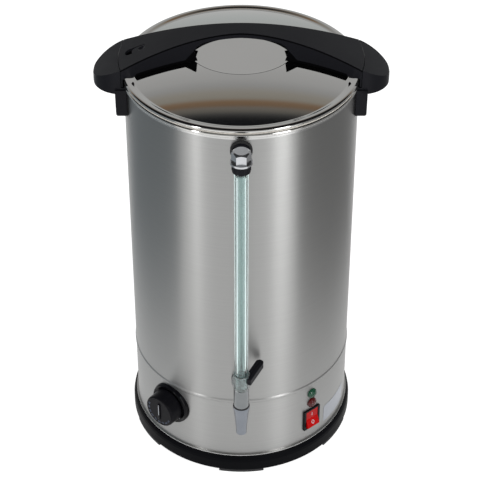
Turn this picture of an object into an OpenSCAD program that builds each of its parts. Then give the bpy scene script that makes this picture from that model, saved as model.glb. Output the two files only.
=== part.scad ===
// Electric hot water urn: a tall steel tank on a plastic base, with a twist-off lid,
// a sight glass down the front, a plug tap under it, and the controls low on both sides.
// Millimetres. Z is up, the front faces -Y, and the origin is the middle of the base
// on the counter. An azimuth is counted from the front towards +X.

/* [Tank] */
// Outside diameter of the tank wall
tank_d = 270; // [256:1:290]
// Height of the tank's rolled rim above the counter
rim_z = 509; // [480:1:540]
// Height of the tank's floor, marked by a bead round the wall
floor_z = 116; // [112:1:122]
// Thickness of the tank's sheet
wall_t = 1; // [0.8:0.1:1.4]
// Radius of the rolled rim
rim_roll_r = 2.3; // [2:0.1:2.6]
// How far the wall's foot flange stands out
foot_flange = 2.5; // [1.5:0.1:3]

/* [Base] */
// Height of the base ring's top deck above the counter
base_h = 25; // [23:0.5:28]
// How far the base ring stands outside the tank wall
base_flare = 6.2; // [5:0.2:8]
// Height of a foot below the base ring
foot_h = 4; // [3:0.5:5]
// Number of feet
foot_count = 6; // [4:1:8]
// Angle that one foot spans
foot_arc = 23; // [16:1:28]
// Height of the locating rib that enters the tank wall
rib_h = 8; // [5:0.5:10]

/* [Lid] */
// Rise of the lid's dome
dome_rise = 17; // [14:0.5:20]
// Width of the flat land round the dome
land_w = 7.5; // [6.5:0.5:10]
// Thickness of the lid's sheet
lid_t = 1; // [0.8:0.1:1.2]
// Radius of the lid's curled edge
curl_r = 2; // [1.7:0.1:2.2]
// Depth of the finger recess under the grip
recess_d = 4.5; // [3:0.5:6]
// Radius of the two arcs that bound the recess
recess_r = 61; // [58:1:64]
// Thickness of the lid's flat seal
seal_t = 1; // [0.8:0.1:1.5]

/* [Lid handle] */
// Height of the handle's crest above the rim
crest_rise = 52.7; // [50:0.5:56]
// Fall of the handle from its crest to the seams
end_drop = 37.2; // [35:0.2:39]
// Half width of the grip at its middle
grip_half = 11.3; // [10:0.1:12.5]
// Half width of the handle at the seams
end_half = 35; // [33:0.5:36]
// Thickness of the bar over the finger window
bar_t = 6.4; // [6:0.1:8]
// Half length of the finger window
window_half = 53; // [50:1:56]
// Wall of the handle's cover
cover_t = 2.6; // [2.2:0.1:3]
// Height of the cover's lip above the dome
lip_gap = 4.6; // [4:0.2:6]
// How far the frame is set back under the lip
undercut = 6; // [5:0.5:7]
// Gap at the seam between the lid handle and a side handle
seam_gap = 0.6; // [0.5:0.1:1]
// Length of the lock's slot
slot_l = 26; // [24:1:28]
// Width of the lock's slot
slot_w = 12; // [11:0.5:13]
// Travel of the lock's slider
lock_travel = 8; // [6:0.5:9]

/* [Side handles] */
// Radius of a side handle seen from above
lobe_r = 34; // [33:0.5:36]
// Radius of the rounding at the handle's nose
nose_r = 5; // [3.5:0.5:6]
// Height of the handle's lower edge below the tank's rim
cap_drop = 14; // [12:0.5:16]
// How far the leg stands out from the tank
leg_out = 8; // [7:0.5:9]
// Half width of the leg
leg_half = 36; // [34:1:38]
// Length of the leg below the handle's lower edge
leg_drop = 30; // [28:1:36]
// Wall of the hollow lobe
lobe_t = 3; // [2.5:0.1:3.5]

/* [Sight glass and tap] */
// Distance of the column's axis from the tank wall
column_out = 32; // [30:0.5:36]
// Outside diameter of the sight glass
glass_d = 16; // [15:0.5:17]
// Bore of the sight glass
glass_bore = 8.8; // [8:0.2:10]
// Height of the upper elbow's axis
elbow_z = 488.4; // [470:1:489]
// Height of the tap body's top
tap_top_z = 168; // [162:0.5:176]
// Height of the tap barrel's axis
barrel_z = 154; // [152:0.5:156]
// Diameter of the tap body
tap_d = 18.5; // [18:0.5:20]
// Diameter of the valve plug
plug_d = 13; // [12:0.5:14]
// Height of the clear collar over the tap
collar_h = 22; // [19:1:25]
// Length of the spout
spout_l = 43.5; // [38:0.5:50]
// Diameter of the spout's tip
tip_d = 13; // [12:0.5:14]
// Bore of the spout
spout_bore = 8; // [7:0.5:8.5]
// Diameter of the tap's threaded shank
shank_d = 14; // [12:0.5:15]
// Diameter of the upper elbow's threaded shank
elbow_shank_d = 10; // [8:0.5:10]
// Angle of the lever behind the sideways direction, when shut
lever_turn = 64.4; // [60:0.2:68]
// Width of the lever
lever_w = 9.5; // [8.5:0.5:10.5]
// Thickness of the lever
lever_t = 8; // [7:0.5:9]

/* [Controls] */
// Azimuth of the thermostat knob
knob_az = -40.5; // [-48:0.5:-36]
// Height of the thermostat knob
knob_z = 84; // [78:1:88]
// Diameter of the knob's bezel
bezel_d = 63; // [58:1:66]
// Diameter of the knob
knob_d = 44; // [40:1:46]
// Height of the knob's body above the bezel
knob_h = 19; // [16:0.5:22]
// Height of the knob's finger grip
grip_h = 8; // [6:0.5:10]
// Azimuth of the lamps and the switch
panel_az = 40.5; // [36:0.5:48]
// Height of the green lamp
green_z = 100; // [100:0.5:102]
// Height of the red lamp
red_z = 84.8; // [83:0.2:85.4]
// Diameter of a lamp lens
lamp_d = 13.5; // [12:0.5:14]
// Height of the rocker switch
switch_z = 59; // [56:0.5:60]
// Height of the switch's bezel
switch_h = 31; // [30:0.5:32]
// Width of the switch's bezel
switch_w = 25.5; // [25:0.5:27]
// Tilt of the rocker to either side
rocker_tilt = 10; // [8:0.5:11]

/* [Inside the base] */
// Diameter of the heat plate under the floor
plate_d = 180; // [170:2:190]
// Diameter of the ring that the element follows
element_d = 130; // [120:2:140]
// Diameter of the element's tube
element_tube = 8; // [7:0.5:8.5]
// Height of the cord gland at the back
gland_z = 60; // [50:1:70]
// Bore of the cord gland
gland_bore = 8; // [7:0.5:9]

/* [Hidden] */
$fn = 96;

eps = 0.01;
seat_gap = 0.05;        // between fixed pieces that sit in or on each other
wall_gap = 0.15;        // between a fixed piece and the tank's round wall
rest_gap = 0.3;         // between pieces that move apart
tank_r = tank_d / 2;
inner_r = tank_r - wall_t;

// Base
flange_t = 1.2;
deck_t = 3;
skirt_t = 3;
ring_r = tank_r + base_flare;
rail_w = 5;             // inner rail that the base plate is screwed to
rail_r = tank_r - 11;   // outer radius of that rail
rail_z = foot_h + 4;
plate_t = 1;
foot_in_r = rail_r + 2;
foot_out_r = ring_r - 0.4;
screw_r = 1.6;
rod_r = 2.5;
rod_ring = tank_r - 30;
vent_r = 0.45 * tank_r; // middle of the slots in the base plate
rod_count = 3;

// Tank floor and heater
floor_t = 1.2;
bead_low_z = floor_z - 3;
bead_out = 0.8;
floor_lift = 3;         // the middle stands above the gutter round it
gutter_r = tank_r - 25;
floor_under = floor_z + floor_lift - floor_t;
heat_plate_t = 5;
heat_plate_z = floor_under - seat_gap - heat_plate_t;
tube_r = element_tube / 2;
element_z = heat_plate_z + 1 - tube_r / 2;
element_gap = 24;       // half of the ring's open angle

// Lid levels
seal_z = rim_z + rest_gap;
land_z = seal_z + seal_t + rest_gap + 2 * curl_r;
edge_r = tank_r + 0.2 + curl_r;
dome_r = tank_r - 2.5 - land_w;
groove_w = 1.5;
dome_z = land_z - 1.6;
apex_z = dome_z + dome_rise;
sphere_r = (dome_r * dome_r + dome_rise * dome_rise) / (2 * dome_rise);
recess_z = apex_z - recess_d;
recess_y = 17;          // the arcs' centres lie this far behind and in front
lid_skirt_r = tank_r - rim_roll_r - 0.8;
lid_skirt_z = rim_z - 6;
skirt_top_z = land_z - lid_t - wall_gap;
skirt_in_r = dome_r + groove_w + 1.3;

// Lid handle
crest_z = rim_z + crest_rise;
seam_r = tank_r + 4.9;
end_r = seam_r - seam_gap / 2;
lip_z0 = rim_z - 4;     // lowest edge of the handle's ends
top_t = 3.1;
step_n = 20;
stations = [for (i = [-step_n : step_n]) seam_r * i / step_n];
screw_x = 70;
screw_y = 9;
handle_screw_r = 2;
handle_screw_l = 14;

// Lock slider, in a frame that follows the slope of the crest
lock_x = seam_r - 19.4;
lock_slope = atan(1.8 * end_drop / seam_r * pow(lock_x / seam_r, 0.8));
lock_d = 6;
slider_l = slot_l - lock_travel - 2 * rest_gap;
slider_w = slot_w - 2 * rest_gap;

// Side handles
lobe_x = tank_r + 0.5;
nose_x = lobe_x + lobe_r - nose_r;
cap_z = rim_z - cap_drop;
leg_x = tank_r + leg_out;
leg_top_z = cap_z + 6;
leg_z = cap_z - leg_drop;
handle_in_r = seam_r + seam_gap / 2;
tie_r = 2;
tie_az = 8;             // from the handle's middle to each of its screws
tie_z = cap_z - 14;

// Column
column_y = -(tank_r + column_out);
glass_r = glass_d / 2;
tap_r = tap_d / 2;
plug_r = plug_d / 2;
shank_r = shank_d / 2;
elbow_shank_r = elbow_shank_d / 2;
washer_t = 1.3;
tap_low_z = barrel_z - 13;
spigot_r = 5.4;
spout_top_z = tap_low_z - washer_t;
tip_z = spout_top_z - spout_l;
tip_l = 7;
web_t = 3;
collar_r = glass_r + 2.2;
glass_z0 = tap_top_z + rest_gap + web_t + rest_gap;
glass_z1 = elbow_z + 2;
elbow_r = 10.6;
elbow_h = 10.6;
elbow_low_z = elbow_z - elbow_h / 2;
cap_flange_r = 12.35;
cap_flat = 19;
inner_l = 12;           // reach of the shanks into the tank
seal_out = 3;
washer_r = 11;          // rings between the wall and the locknuts
washer_h = 2;           // their least thickness
nut_t = 5;
lever_off = 9.9;        // the lever passes the column's axis at this distance
lever_rear = 34;        // reach of the lever's tip behind the foot of that distance
lever_front = 4.5;
lever_z = tap_top_z + 13;

// Controls
bezel_r = bezel_d / 2;
knob_r = knob_d / 2;
bezel_face = 3.2;
spindle_r = 3;
body_w = 36;
screw_off = 14;         // from the spindle to each of the thermostat's screws
lamp_r = lamp_d / 2;
lamp_neck = 4.9;
rocker_w = 19;
rocker_r = 13.4;
rocker_pivot = -2;
pivot_r = 1.4;
switch_depth = 24;

// Height of the wall's inner face below its outermost line, half_w to the side
function inner_seat(half_w) = tank_r - sqrt(inner_r * inner_r - half_w * half_w);
// Height of the lid's dome at a distance from its middle
function dome_at(r) = apex_z - sphere_r + sqrt(sphere_r * sphere_r - r * r);
// Half width and height of the lid handle along its length
function waist(x) = grip_half + (end_half - grip_half) * pow(abs(x) / seam_r, 1.6);
function crest(x) = crest_z - end_drop * pow(abs(x) / seam_r, 1.8);
function reverse(list) = [for (i = [len(list) - 1 : -1 : 0]) list[i]];
function mirrored(list) = [for (i = [len(list) - 1 : -1 : 0]) [-list[i][0], list[i][1]]];
function arc(cx, cy, r, a0, a1, n) =
    [for (i = [0 : n]) let (a = a0 + (a1 - a0) * i / n) [cx + r * cos(a), cy + r * sin(a)]];

// Puts children on the tank wall: X to the right, Y up, Z straight out
module on_wall(az, z) {
    rotate([0, 0, az]) translate([0, -tank_r, z]) rotate([90, 0, 0]) children();
}

module through_wall(az, z, r) {
    on_wall(az, z) translate([0, 0, -20]) cylinder(r = r, h = 40);
}

module tank_core(gap) {
    translate([0, 0, -eps]) cylinder(r = tank_r + gap, h = rim_z + 200, $fn = 180);
}

// A straight bar with rounded long edges, along Z
module stadium(l, w, h) {
    for (s = [-1, 1]) translate([s * (l - w) / 2, 0, 0]) cylinder(r = w / 2, h = h);
    translate([-(l - w) / 2, -w / 2, 0]) cube([l - w, w, h]);
}

module hexagon(flat, h) {
    cylinder(r = flat / sqrt(3), h = h, $fn = 6);
}

module sector(r0, r1, z0, z1, az, arc) {
    rotate([0, 0, az - 90 - arc / 2]) rotate_extrude(angle = arc)
        polygon([[r0, z0], [r1, z0], [r1, z1], [r0, z1]]);
}

// ---- Base ----

module base_ring() {
    color("#1d1e21") difference() {
        rotate_extrude($fn = 180) polygon([
            [ring_r, foot_h], [ring_r, base_h - 8], [ring_r - 0.6, base_h - 4.5],
            [ring_r - 2.2, base_h - 1.5], [tank_r + foot_flange + 0.2, base_h],
            [inner_r - wall_gap, base_h], [inner_r - wall_gap, base_h + rib_h],
            [inner_r - 2.5, base_h + rib_h], [inner_r - 2.5, base_h],
            [rail_r - rail_w, base_h], [rail_r - rail_w, rail_z], [rail_r, rail_z],
            [rail_r, base_h - deck_t], [ring_r - skirt_t - 1.5, base_h - deck_t],
            [ring_r - skirt_t, base_h - deck_t - 3], [ring_r - skirt_t, foot_h]]);
        for (i = [0 : foot_count - 1]) plate_screw_place(i)
            translate([0, 0, -eps]) cylinder(r = screw_r + seat_gap, h = 10);
    }
}

module plate_screw_place(i) {
    rotate([0, 0, (i + 0.5) * 360 / foot_count])
        translate([0, -(rail_r - rail_w / 2), rail_z]) children();
}

module base_feet() {
    color("#17181a") for (i = [0 : foot_count - 1]) {
        sector(foot_in_r, foot_out_r, 0, foot_h, i * 360 / foot_count, foot_arc);
        sector(foot_in_r, ring_r - skirt_t - 2, foot_h - eps, base_h - deck_t - seat_gap,
            i * 360 / foot_count, foot_arc - 2);
    }
}

module base_plate() {
    color("#8d9094") difference() {
        translate([0, 0, rail_z - plate_t]) cylinder(r = foot_in_r - 0.5, h = plate_t);
        for (i = [0 : foot_count - 1]) plate_screw_place(i)
            translate([0, 0, -plate_t - eps]) cylinder(r = screw_r + 0.3, h = 5);
        rods() translate([0, 0, -1]) cylinder(r = rod_r + 0.3, h = 30);
        for (a = [15 : 30 : 345]) rotate([0, 0, a]) translate([vent_r, 0, rail_z - plate_t - eps])
            stadium(24, 3, plate_t + 1);
    }
}

module base_screws() {
    color("#b9bcc0") for (i = [0 : foot_count - 1]) plate_screw_place(i) {
        translate([0, 0, -plate_t - seat_gap - 2]) cylinder(r = 3.2, h = 2);
        translate([0, 0, -plate_t - seat_gap - eps]) cylinder(r = screw_r, h = 9);
    }
}

module rods() {
    for (i = [0 : rod_count - 1]) rotate([0, 0, 60 + i * 360 / rod_count])
        translate([0, -rod_ring, 0]) children();
}

// Studs that hang from the tank's floor and pull the base plate up
module tie_rods() {
    color("#a8abb0") rods() {
        translate([0, 0, rail_z - plate_t - seat_gap - 3]) hexagon(8, 3);
        cylinder_between(rail_z - plate_t - 1, floor_z - floor_t - seat_gap, rod_r);
    }
}

module cylinder_between(z0, z1, r) {
    translate([0, 0, z0]) cylinder(r = r, h = z1 - z0);
}

// ---- Tank ----

// Lower part of the wall: it carries the controls and ends under the bead
module tank_skirt() {
    color("#b4b6b5") difference() {
        rotate_extrude($fn = 180) polygon([
            [inner_r, base_h], [tank_r + foot_flange, base_h],
            [tank_r + foot_flange, base_h + flange_t], [tank_r, base_h + flange_t],
            [tank_r, bead_low_z - seat_gap], [inner_r, bead_low_z - seat_gap]]);
        through_wall(knob_az, knob_z, spindle_r + 2.3);
        on_wall(knob_az, knob_z) thermostat_screw_holes(2.3);
        through_wall(panel_az, green_z, lamp_neck + seat_gap);
        through_wall(panel_az, red_z, lamp_neck + seat_gap);
        on_wall(panel_az, switch_z) translate([-switch_w / 2 + 1.5, -switch_h / 2 + 1.3, -20])
            cube([switch_w - 3, switch_h - 2.6, 40]);
        through_wall(180, gland_z, gland_bore / 2 + 3.2);
    }
}

module tank_wall() {
    color("#b4b6b5") difference() {
        union() {
            rotate_extrude($fn = 180) polygon([
                [inner_r, bead_low_z], [tank_r, bead_low_z],
                [tank_r + bead_out, floor_z - 1.2], [tank_r + bead_out, floor_z + 1.2],
                [tank_r, floor_z + 3], [tank_r, rim_z - rim_roll_r],
                [inner_r, rim_z - rim_roll_r]]);
            rotate_extrude($fn = 180) translate([tank_r, rim_z - rim_roll_r])
                circle(r = rim_roll_r, $fn = 32);
        }
        through_wall(0, barrel_z, shank_r + 0.3);
        through_wall(0, elbow_z, elbow_shank_r + 0.3);
        handle_ties() translate([0, 0, -20]) cylinder(r = tie_r + 0.2, h = 40);
    }
}

// Shallow tray, welded in at the bead, with a gutter round its raised middle
module tank_floor() {
    color("#a9acac") rotate_extrude($fn = 120) polygon([
        [0, floor_under], [gutter_r - 8, floor_under], [gutter_r, floor_z - floor_t],
        [inner_r - wall_gap - floor_t, floor_z - floor_t],
        [inner_r - wall_gap, floor_z - floor_t + 1.5], [inner_r - wall_gap, floor_z + floor_lift],
        [inner_r - wall_gap - floor_t, floor_z + floor_lift], [inner_r - wall_gap - floor_t, floor_z],
        [gutter_r, floor_z], [gutter_r - 8, floor_z + floor_lift], [0, floor_z + floor_lift]]);
}

module element_ring(r) {
    rotate([0, 0, 90 + element_gap]) rotate_extrude(angle = 360 - 2 * element_gap)
        translate([element_d / 2, 0]) circle(r = r, $fn = 48);
}

module heat_plate() {
    color("#c3c5c8") difference() {
        translate([0, 0, heat_plate_z]) cylinder(r = plate_d / 2, h = heat_plate_t);
        translate([0, 0, element_z]) rotate_extrude() translate([element_d / 2, 0])
            circle(r = tube_r + seat_gap, $fn = 48);
    }
}

// Tubular ring with its two cold ends bent down at the back
module heating_element() {
    color("#7b7d80") translate([0, 0, element_z]) {
        element_ring(tube_r);
        for (s = [-1, 1]) rotate([0, 0, 90 + s * element_gap]) translate([element_d / 2, 0, 0]) {
            sphere(r = tube_r, $fn = 48);
            translate([0, 0, -18]) cylinder(r = tube_r, h = 18);
            translate([0, 0, -26]) cylinder(r = 1.5, h = 10);
        }
    }
}

module boil_dry_cutout() {
    color("#d8cfb4") translate([0, -26, heat_plate_z - seat_gap]) {
        translate([0, 0, -1.2]) stadium(34, 14, 1.2);
        translate([0, 0, -11]) cylinder(r = 8, h = 10);
        for (s = [-1, 1]) translate([s * 5 - 0.4, -3.2, -18]) cube([0.8, 6.4, 8]);
    }
}

// ---- Thermostat and its knob ----

module thermostat_screw_holes(r) {
    for (s = [-1, 1]) translate([s * screw_off, 0, -20]) cylinder(r = r, h = 40);
}

module thermostat_body() {
    top = -inner_seat(body_w / 2) - seat_gap;
    color("#c9b48a") on_wall(knob_az, knob_z) difference() {
        union() {
            translate([-body_w / 2, -16, top - 24]) cube([body_w, 32, 24]);
            translate([0, 0, top - 28]) cylinder(r = 9, h = 5);
        }
        translate([0, 0, top - 18]) cylinder(r = spindle_r + 0.1, h = 30);
        thermostat_screw_holes(1.9);
    }
}

module thermostat_screws() {
    color("#b9bcc0") on_wall(knob_az, knob_z) for (s = [-1, 1]) translate([s * screw_off, 0, 0]) {
        translate([0, 0, -12]) cylinder(r = 1.85, h = 12 + bezel_face - 1.8);
        translate([0, 0, bezel_face - 1.8]) cylinder(r = 3.5, h = 1.6);
    }
}

bulb_y = -0.36 * element_d;
bulb_half = 0.21 * element_d;
bulb_r = 3;
bulb_z = heat_plate_z - seat_gap - bulb_r;

module thermostat_bulb() {
    color("#b5703c") translate([-bulb_half, bulb_y, bulb_z]) rotate([0, 90, 0])
        cylinder(r = bulb_r, h = 2 * bulb_half);
}

// A thin tube through the points, with a small ball at each bend
module rod_path(points, r) {
    for (i = [1 : len(points) - 1]) {
        v = points[i] - points[i - 1];
        translate(points[i - 1]) rotate([0, acos(v[2] / norm(v)), atan2(v[1], v[0])])
            cylinder(r = r, h = norm(v));
        if (i < len(points) - 1) translate(points[i]) sphere(r = 1.3 * r);
    }
}

module capillary_tube() {
    out = [sin(knob_az), -cos(knob_az), 0];
    lug = tank_r - inner_seat(body_w / 2) - 28 - 2 * seat_gap;
    color("#b5703c") rod_path([out * lug + [0, 0, knob_z], out * (lug - 9) + [0, 0, knob_z],
        [-0.46 * element_d, bulb_y, bulb_z - 8], [-bulb_half - 12, bulb_y, bulb_z - 8],
        [-bulb_half - 5, bulb_y, bulb_z], [-bulb_half - seat_gap, bulb_y, bulb_z]], 0.9);
}

module knob_bezel() {
    color("#0f1012") difference() {
        on_wall(knob_az, knob_z) difference() {
            rotate_extrude() polygon([[0, -8], [bezel_r, -8], [bezel_r, 1.4],
                [bezel_r - 1.6, 4.6], [bezel_r - 4.6, 4.6], [bezel_r - 6, bezel_face],
                [0, bezel_face]]);
            translate([0, 0, -20]) cylinder(r = spindle_r + 2.3, h = 40);
            thermostat_screw_holes(2.3);
            for (s = [-1, 1]) translate([s * screw_off, 0, bezel_face - 1.85])
                cylinder(r = 3.8, h = 5);
        }
        tank_core(wall_gap);
        cylinder_between(bead_low_z - wall_gap, floor_z + 3 + wall_gap, tank_r + bead_out + wall_gap);
    }
}

module thermostat_knob() {
    z0 = bezel_face + 0.8;
    z1 = z0 + knob_h;
    color("#17181b") on_wall(knob_az, knob_z) difference() {
        union() {
            rotate_extrude() polygon([[0, z0], [knob_r - 1, z0], [knob_r, z0 + 1],
                [knob_r - 0.6, z1 - 2.4], [knob_r - 1.4, z1 - 0.7], [knob_r - 3, z1], [0, z1]]);
            intersection() {
                translate([0, 0, z1 - 1]) rotate([90, 0, 90]) translate([0, 0, -8])
                    linear_extrude(height = 16)
                    polygon([[-knob_r + 2.6, 0], [knob_r - 2.6, 0], [knob_r - 5, grip_h + 1],
                        [-knob_r + 5, grip_h + 1]]);
                translate([0, 0, z1 - 1]) rotate([90, 0, 0]) translate([0, 0, -knob_r])
                    linear_extrude(height = knob_d)
                    polygon([[-7, 0], [7, 0], [4.4, grip_h + 1], [-4.4, grip_h + 1]]);
            }
        }
        translate([0, 0, z0 - eps]) cylinder(r = spindle_r + seat_gap, h = 14);
        translate([0, 0, z0 - eps]) difference() {
            cylinder(r = knob_r - 2.4, h = 12);
            translate([0, 0, -eps]) cylinder(r = 6.5, h = 14);
        }
    }
}

module thermostat_spindle() {
    color("#b9bcc0") on_wall(knob_az, knob_z) translate([0, 0, -18])
        cylinder(r = spindle_r, h = 18 + bezel_face + 13);
}

// ---- Lamps and switch ----

module lamp(z) {
    cap = 4.2;
    ball = (lamp_r * lamp_r + cap * cap) / (2 * cap);
    on_wall(panel_az, z) {
        intersection() {
            translate([0, 0, 1.2 + cap - ball]) sphere(r = ball);
            translate([0, 0, 1.2]) cylinder(r = lamp_r + 1, h = 10);
        }
        difference() {
            translate([0, 0, -2]) cylinder(r = lamp_r, h = 3.2 + eps);
            lamp_core();
        }
        translate([0, 0, -16]) cylinder(r = lamp_neck, h = 17.5);
    }
}

// The tank's own cylinder, seen from the lamp's place on the wall
module lamp_core() {
    translate([0, 0, -tank_r]) rotate([-90, 0, 0]) translate([0, 0, -40])
        cylinder(r = tank_r + seat_gap, h = 80, $fn = 180);
}

module lamp_green() { color("#0f8a4a") lamp(green_z); }

module lamp_red() { color("#a5121c") lamp(red_z); }

module lamp_nuts() {
    flat = 13;
    color("#b9bcc0") for (z = [green_z, red_z]) on_wall(panel_az, z)
        translate([0, 0, -inner_seat(flat / sqrt(3)) - seat_gap - 4]) difference() {
            hexagon(flat, 4);
            translate([0, 0, -1]) cylinder(r = lamp_neck + seat_gap, h = 6);
        }
}

module switch_housing() {
    color("#121315") difference() {
        on_wall(panel_az, switch_z) difference() {
            union() {
                translate([-switch_w / 2, -switch_h / 2, -2]) cube([switch_w, switch_h, 4.2]);
                translate([-switch_w / 2 + 1.7, -switch_h / 2 + 1.5, -switch_depth])
                    cube([switch_w - 3.4, switch_h - 3, switch_depth]);
            }
            translate([-rocker_w / 2 - rest_gap, -rocker_r - rest_gap, rocker_pivot - 11])
                cube([rocker_w + 2 * rest_gap, 2 * (rocker_r + rest_gap), 30]);
            translate([-switch_w, 0, rocker_pivot]) rotate([0, 90, 0])
                cylinder(r = pivot_r + 0.1, h = 2 * switch_w);
        }
        difference() {
            tank_core(seat_gap);
            on_wall(panel_az, switch_z)
                translate([-switch_w / 2 + 1.6, -switch_h / 2 + 1.4, -40])
                cube([switch_w - 3.2, switch_h - 2.8, 60]);
        }
    }
}

module switch_rocker() {
    color("#c01018") on_wall(panel_az, switch_z) translate([0, 0, rocker_pivot])
        rotate([-rocker_tilt, 0, 0]) {
            intersection() {
                translate([-rocker_w / 2, 0, 0]) rotate([90, 0, 90]) linear_extrude(height = rocker_w)
                    polygon([[-12.5, -5], [12.5, -5], [12.5, 6], [0, 3.6], [-12.5, 6]]);
                translate([-rocker_w, 0, 0]) rotate([0, 90, 0]) cylinder(r = rocker_r, h = 2 * rocker_w);
            }
            translate([-rocker_w / 2 - 1.2, 0, 0]) rotate([0, 90, 0])
                cylinder(r = pivot_r, h = rocker_w + 2.4);
        }
}

module switch_terminals() {
    color("#c8a24a") on_wall(panel_az, switch_z) for (x = [-5, 5], y = [-8, 8])
        translate([x - 0.4, y - 3.1, -switch_depth - 9 - seat_gap]) cube([0.8, 6.2, 9]);
}

// ---- Supply at the back ----

module terminal_block() {
    color("#e8e6df") translate([-22, 62, rail_z + seat_gap]) difference() {
        cube([44, 20, 16]);
        for (x = [11, 22, 33]) translate([x, 10, 8]) cylinder(r = 2.4, h = 10);
    }
}

module cord_gland() {
    color("#141517") difference() {
        on_wall(180, gland_z) {
            translate([0, 0, -18]) cylinder(r = gland_bore / 2 + 3, h = 20);
            translate([0, 0, -3]) cylinder(r = gland_bore / 2 + 7, h = 7);
            translate([0, 0, 4 - eps]) cylinder(r = gland_bore / 2 + 4, h = 8);
        }
        difference() {
            tank_core(seat_gap);
            on_wall(180, gland_z) translate([0, 0, -30]) cylinder(r = gland_bore / 2 + 3, h = 60);
        }
        on_wall(180, gland_z) translate([0, 0, -30]) cylinder(r = gland_bore / 2, h = 60);
    }
}

module cord_gland_nut() {
    flat = gland_bore + 14;
    color("#141517") on_wall(180, gland_z)
        translate([0, 0, -inner_seat(flat / sqrt(3)) - seat_gap - 5]) difference() {
            hexagon(flat, 5);
            translate([0, 0, -1]) cylinder(r = gland_bore / 2 + 3 + seat_gap, h = 7);
        }
}

// ---- Side handles ----

module handle_ties() {
    for (az = [-90, 90], s = [-1, 1]) on_wall(az + s * tie_az, tie_z) children();
}

function lobe_top(x, sink) = crest(seam_r) - sink
    - (x - seam_r) * 1.8 * end_drop / seam_r - 0.003 * pow(x - seam_r, 2);

// Top line of a side handle seen from the front, for the right-hand one
function lobe_line(end, sink) = [for (i = [0 : 16])
    let (x = tank_r - 4 + (end - tank_r + 4) * i / 16) [x, lobe_top(x, sink)]];

module lobe_plan(r) {
    translate([lobe_x, 0, 300]) cylinder(r = r, h = 300);
}

module along_y(half) {
    translate([0, half, 0]) rotate([90, 0, 0]) linear_extrude(height = 2 * half) children();
}

module leg() {
    corner = 5;
    in_x = tank_r - 12;
    for (y = [-1, 1]) translate([in_x, y * (leg_half - corner), leg_z + corner])
        rotate([0, 90, 0]) cylinder(r = corner, h = leg_x - in_x);
    translate([in_x, corner - leg_half, leg_z])
        cube([leg_x - in_x, 2 * (leg_half - corner), 2 * corner]);
    translate([in_x, -leg_half, leg_z + corner])
        cube([leg_x - in_x, 2 * leg_half, leg_top_z - leg_z - corner]);
}

// A cap that goes on from the lid handle, hollow below for the fingers, on a broad leg
module side_handle() {
    fall = atan(1.8 * end_drop / seam_r + 0.006 * (nose_x - seam_r));
    start = nose_x + nose_r * sin(fall);
    nose_z = lobe_top(start, 0) - nose_r * cos(fall);
    difference() {
        union() {
            intersection() {
                along_y(lobe_r + 5) polygon(concat(lobe_line(start, 0),
                    arc(nose_x, nose_z, nose_r, 84 - fall, 0, 6),
                    [[nose_x + nose_r, cap_z + 1.5], [nose_x + nose_r - 1.5, cap_z],
                    [tank_r - 4, cap_z]]));
                lobe_plan(lobe_r);
            }
            leg();
        }
        cylinder_between(leg_z - 5, rim_z - 2 * rim_roll_r - 1, tank_r + seat_gap);
        cylinder_between(rim_z - 2 * rim_roll_r - 1 - eps, crest_z, handle_in_r);
        intersection() {
            along_y(lobe_r + 5) polygon(concat(lobe_line(nose_x + nose_r, lobe_t),
                [[nose_x + nose_r, cap_z - 1], [tank_r - 4, cap_z - 1]]));
            lobe_plan(lobe_r - lobe_t);
            translate([leg_x + 1, -lobe_r, cap_z - 1]) cube([60, 2 * lobe_r, 100]);
        }
        handle_ties() translate([0, 0, -10]) cylinder(r = tie_r + seat_gap, h = 10 + leg_out - 2.5);
    }
}

module side_handle_right() { color("#1c1d20") side_handle(); }

module side_handle_left() { color("#1c1d20") mirror([1, 0, 0]) side_handle(); }

module side_handle_screws() {
    head = -inner_seat(4) - seat_gap;
    color("#b9bcc0") handle_ties() {
        translate([0, 0, head - 2.2]) cylinder(r = 4, h = 2.2);
        translate([0, 0, head - eps]) cylinder(r = tie_r, h = leg_out - 2.8 - head);
    }
}

// ---- Tap ----

module at_column(z) {
    translate([0, column_y, z]) children();
}

// From the column's axis back towards the tank
module barrel(z, r, l) {
    at_column(z) rotate([-90, 0, 0]) cylinder(r = r, h = l);
}

shank_l = column_out + wall_t + inner_l;
flange_y = column_out - seal_out;

module tap_body() {
    color("#c9ccd0") difference() {
        union() {
            at_column(tap_low_z) cylinder(r = tap_r, h = tap_top_z - tap_low_z);
            barrel(barrel_z, shank_r, shank_l);
            barrel(barrel_z, shank_r + 1, flange_y);
            at_column(barrel_z) translate([0, flange_y - 3, 0]) rotate([-90, 0, 0])
                cylinder(r = shank_r + 5, h = 3);
        }
        at_column(barrel_z - 7.5) cylinder(r = plug_r + seat_gap, h = 60);
        at_column(tap_low_z - 1) cylinder(r = spigot_r + seat_gap, h = 20);
        at_column(barrel_z) rotate([-90, 0, 0]) cylinder(r = 4, h = shank_l + 1);
    }
}

// Taper-less plug: its side port faces sideways when the tap is shut
module tap_plug() {
    color("#b08d4f") difference() {
        at_column(barrel_z - 7) cylinder(r = plug_r, h = tap_top_z + rest_gap - barrel_z + 7);
        at_column(barrel_z - 8) cylinder(r = 3.5, h = 8);
        at_column(barrel_z) rotate([0, -90, 0]) cylinder(r = 3.5, h = 20);
    }
}

module tap_collar() {
    ribs = 10;
    z0 = tap_top_z + rest_gap + seat_gap;
    color("#d5dcdc") difference() {
        union() {
            at_column(z0) cylinder(r = collar_r - 0.7, h = collar_h);
            at_column(z0 + 3) for (i = [0 : ribs - 1]) rotate([0, 0, i * 360 / ribs])
                translate([collar_r - 2, 0, 0]) cylinder(r = 2, h = collar_h - 6, $fn = 32);
        }
        at_column(z0 + web_t) cylinder(r = glass_r + 0.15, h = collar_h);
        at_column(z0 - 1) cylinder(r = 2, h = collar_h);
    }
}

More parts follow.
